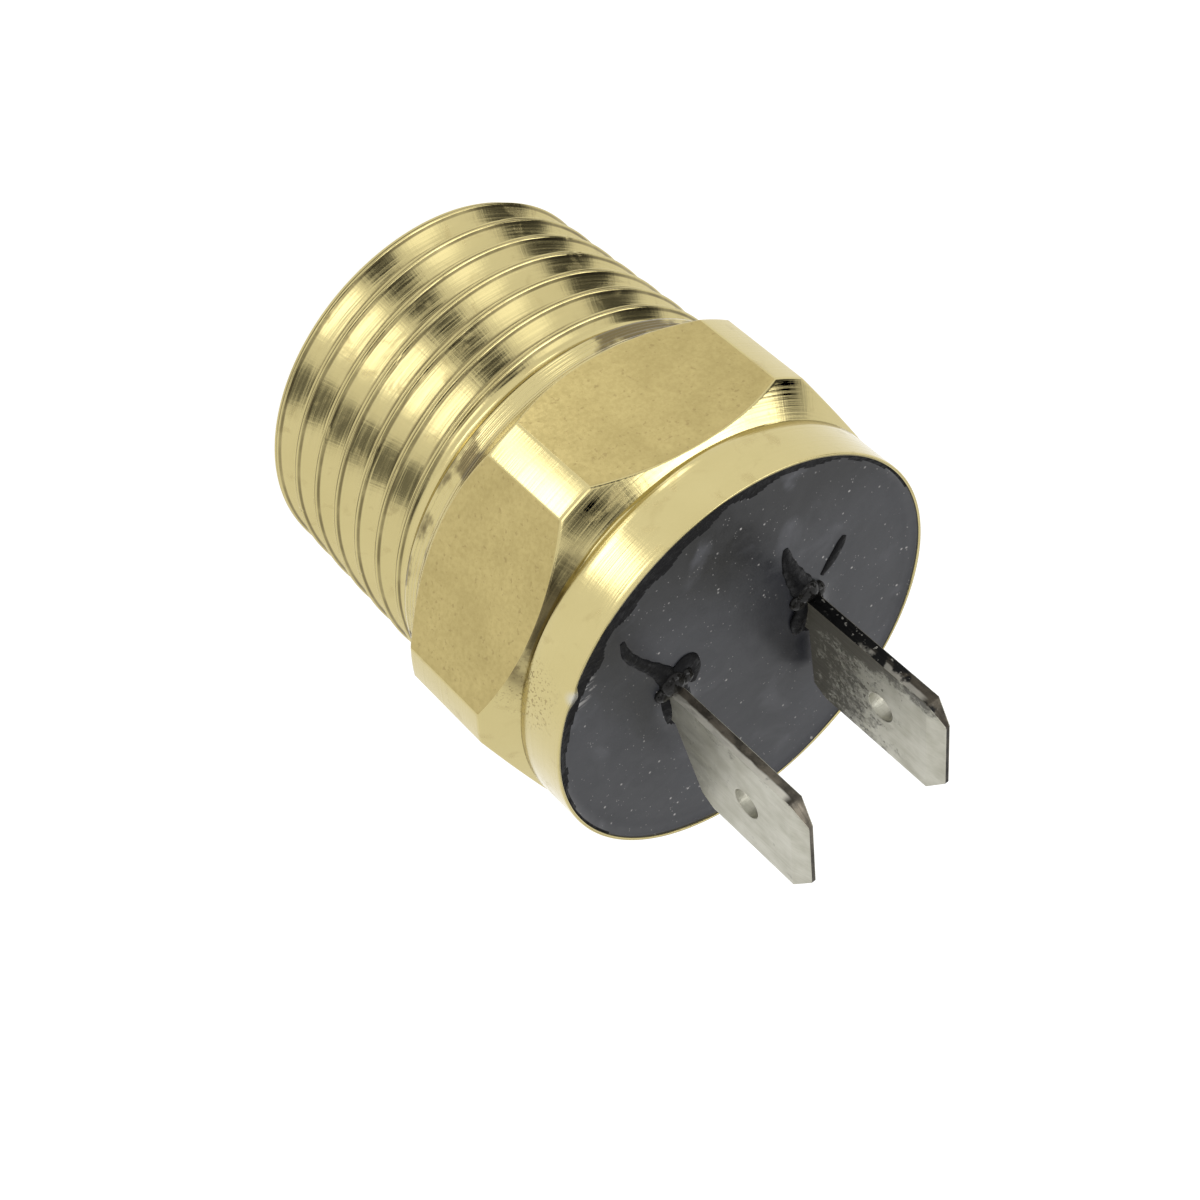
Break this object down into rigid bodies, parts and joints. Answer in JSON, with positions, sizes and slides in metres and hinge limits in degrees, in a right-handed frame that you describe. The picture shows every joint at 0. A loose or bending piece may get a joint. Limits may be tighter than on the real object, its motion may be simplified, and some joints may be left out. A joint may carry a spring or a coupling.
{
  "type": "pressure switch",
  "caption": "Brass pressure switch with tapered pipe thread, hexagon, resin-filled cup and blade terminals; a diaphragm, piston and lever contact work inside.",
  "frame": {"origin": "centre of the thread-end face", "axes": "+Z along the body's axis towards the terminals, +X from the common terminal to the fixed terminal"},
  "size_m": [0.0246, 0.0228, 0.0342],
  "materials": {
    "brass_body": "turned bright brass with matt milled flats",
    "inner_brass": "machined",
    "sintered_bronze": "porous sintered bronze",
    "contact_bronze": "rolled spring bronze",
    "spring_steel": "drawn spring steel",
    "diaphragm_steel": "thin rolled stainless steel",
    "screw_steel": "zinc plated",
    "tin_plate": "dull tin plating over brass",
    "contact_silver": "polished silver",
    "seal_rubber": "matt",
    "moulding": "glass-filled thermoset",
    "resin": "cast epoxy resin"
  },
  "bodies": {
    "root": {"switch_body": "brass_body", "port_filter": "sintered_bronze", "filter_retaining_ring": "spring_steel", "diaphragm_seal": "seal_rubber", "diaphragm": "diaphragm_steel", "diaphragm_clamp_ring": "inner_brass", "range_spring": "spring_steel", "spring_adjusting_ring": "inner_brass", "guide_plate": "moulding", "guide_bush": "inner_brass", "contact_housing": "moulding", "housing_seal": "seal_rubber", "housing_screws": "screw_steel", "common_terminal": "tin_plate", "fixed_terminal": "tin_plate", "terminal_rivets": "inner_brass", "lever_pivot_pin": "spring_steel", "fixed_contact": "contact_silver", "lever_return_spring": "spring_steel", "potting_compound": "resin"},
    "piston": {"pressure_piston": "inner_brass", "spring_seat": "spring_steel", "plunger_pin": "spring_steel"},
    "lever": {"contact_lever": "contact_bronze", "moving_contact": "contact_silver"}
  },
  "joints": [
    {"name": "piston_slide", "type": "slide", "parent": "root", "child": "piston", "axis": [0, 0, 1], "range_m": [0, 0.00035], "stiffness_N_per_m": 2000, "springref_m": -0.005, "deforming": ["range_spring", "diaphragm"]},
    {"name": "lever_pivot", "type": "hinge", "parent": "root", "child": "lever", "pos_m": [-0.005, 0, 0.02005], "axis": [0, -1, 0], "range_deg": [0, 4.02], "deforming": ["lever_return_spring"]}
  ],
  "couplings": [
    {"joint": "lever_pivot", "follows": "piston_slide", "rad_per_m": 200}
  ]
}
